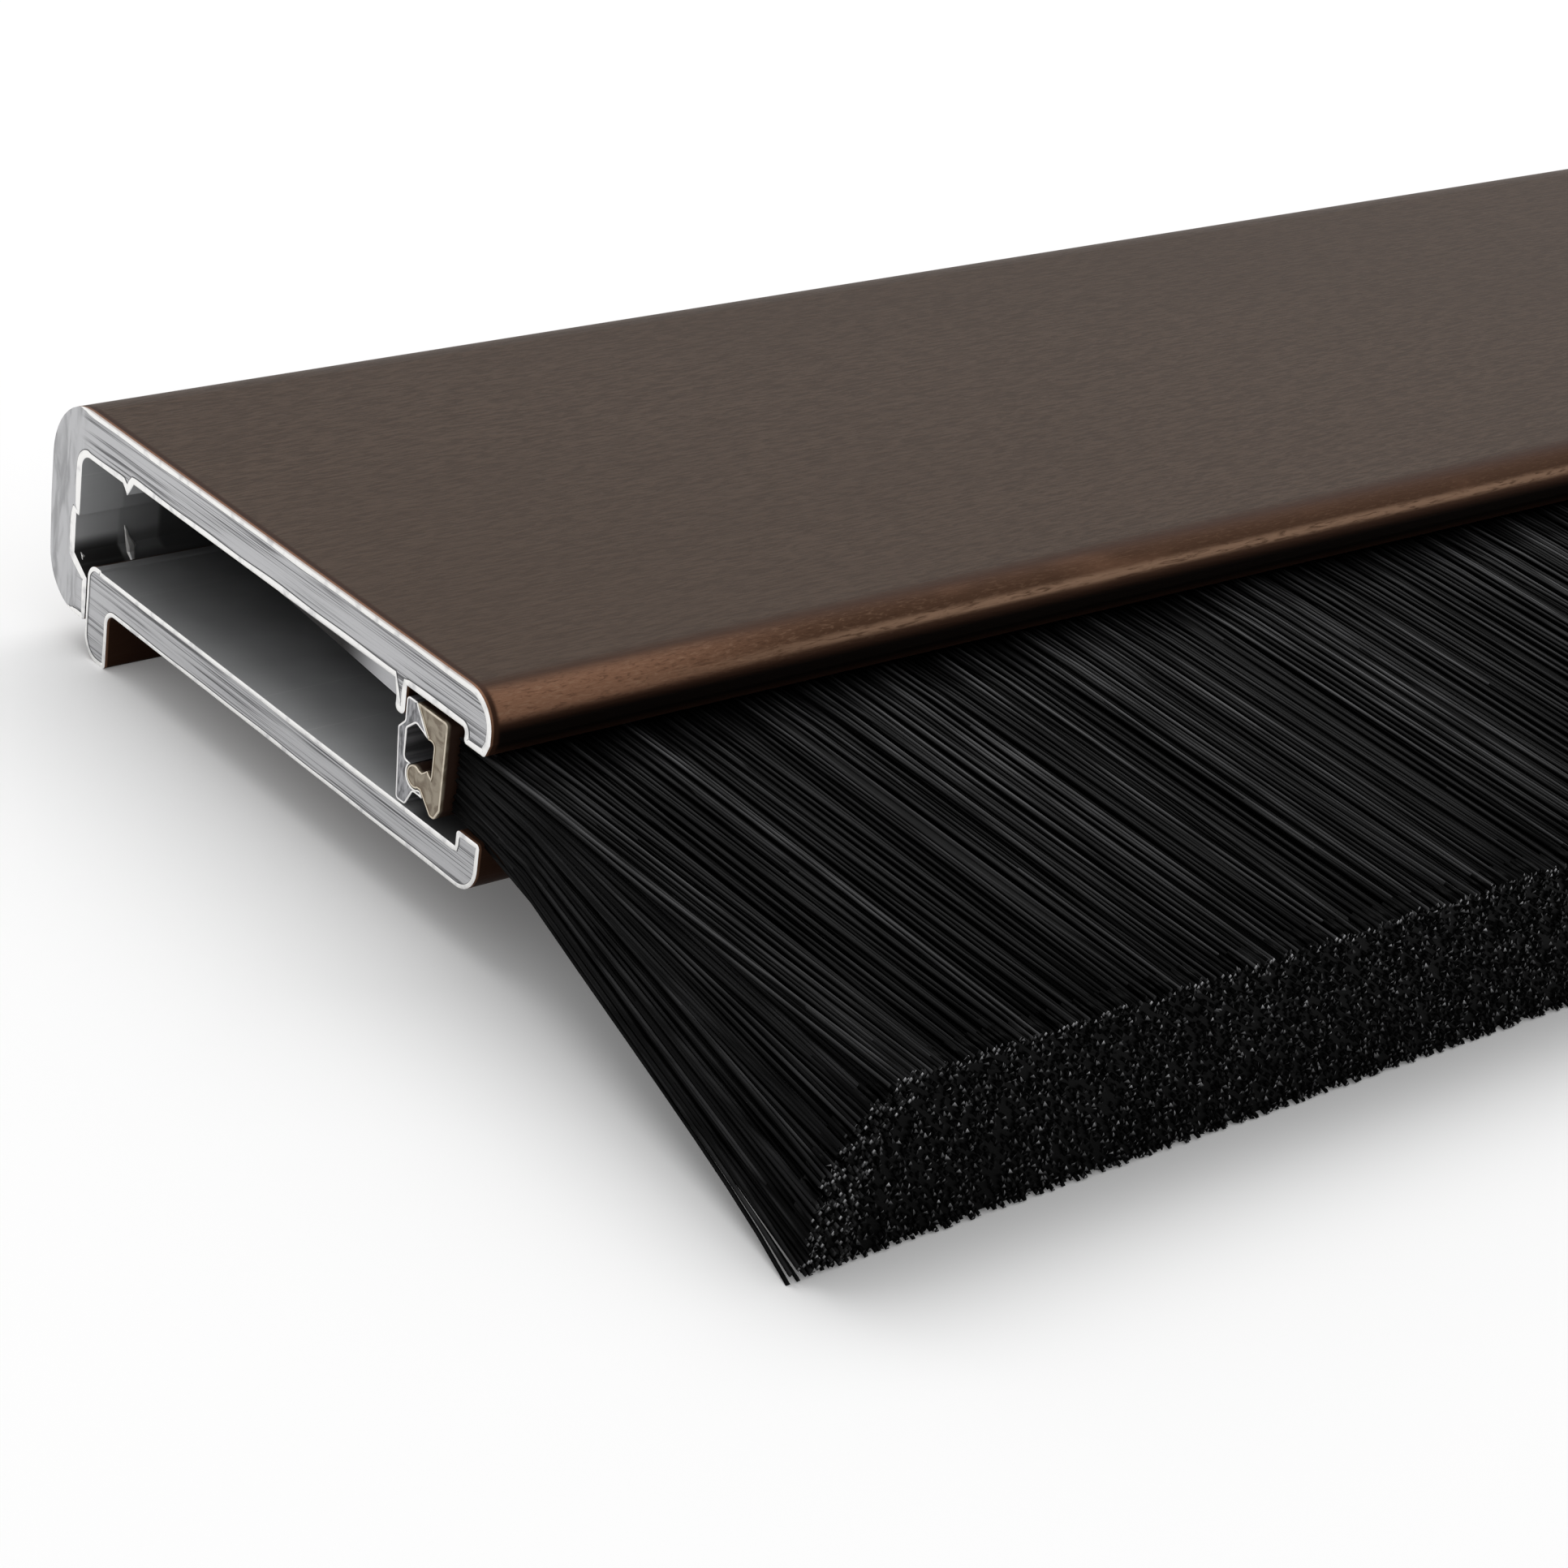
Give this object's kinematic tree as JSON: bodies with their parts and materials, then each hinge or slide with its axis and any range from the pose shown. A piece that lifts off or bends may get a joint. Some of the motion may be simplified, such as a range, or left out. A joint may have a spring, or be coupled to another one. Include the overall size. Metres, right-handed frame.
{
  "type": "brush door sweep",
  "caption": "Long clip-on aluminium door sweep: a snap cover over a screw-down base, gripping a fanned strip of black bristles that seals the gap under a door.",
  "frame": {"origin": "centre of the part's footprint, at the level of the leg's foot and the lowest bristle tips", "axes": "+X along the strip, +Y from the bristle tips to the rear wall, +Z from the base towards the cover"},
  "size_m": [0.9216, 0.0722, 0.0146],
  "materials": {
    "bronze_anodised": "dark bronze anodised, satin, with fine grain along the length and bright saw-cut ends",
    "mill_aluminium": "plain mill finish",
    "tan_backing": "tan, satin",
    "black_bristle": "black satin filaments, packed close"
  },
  "bodies": {
    "root": {"cover": "bronze_anodised", "base": "bronze_anodised", "brush_holder": "mill_aluminium", "brush_backing": "tan_backing", "brush": "black_bristle"}
  },
  "joints": []
}
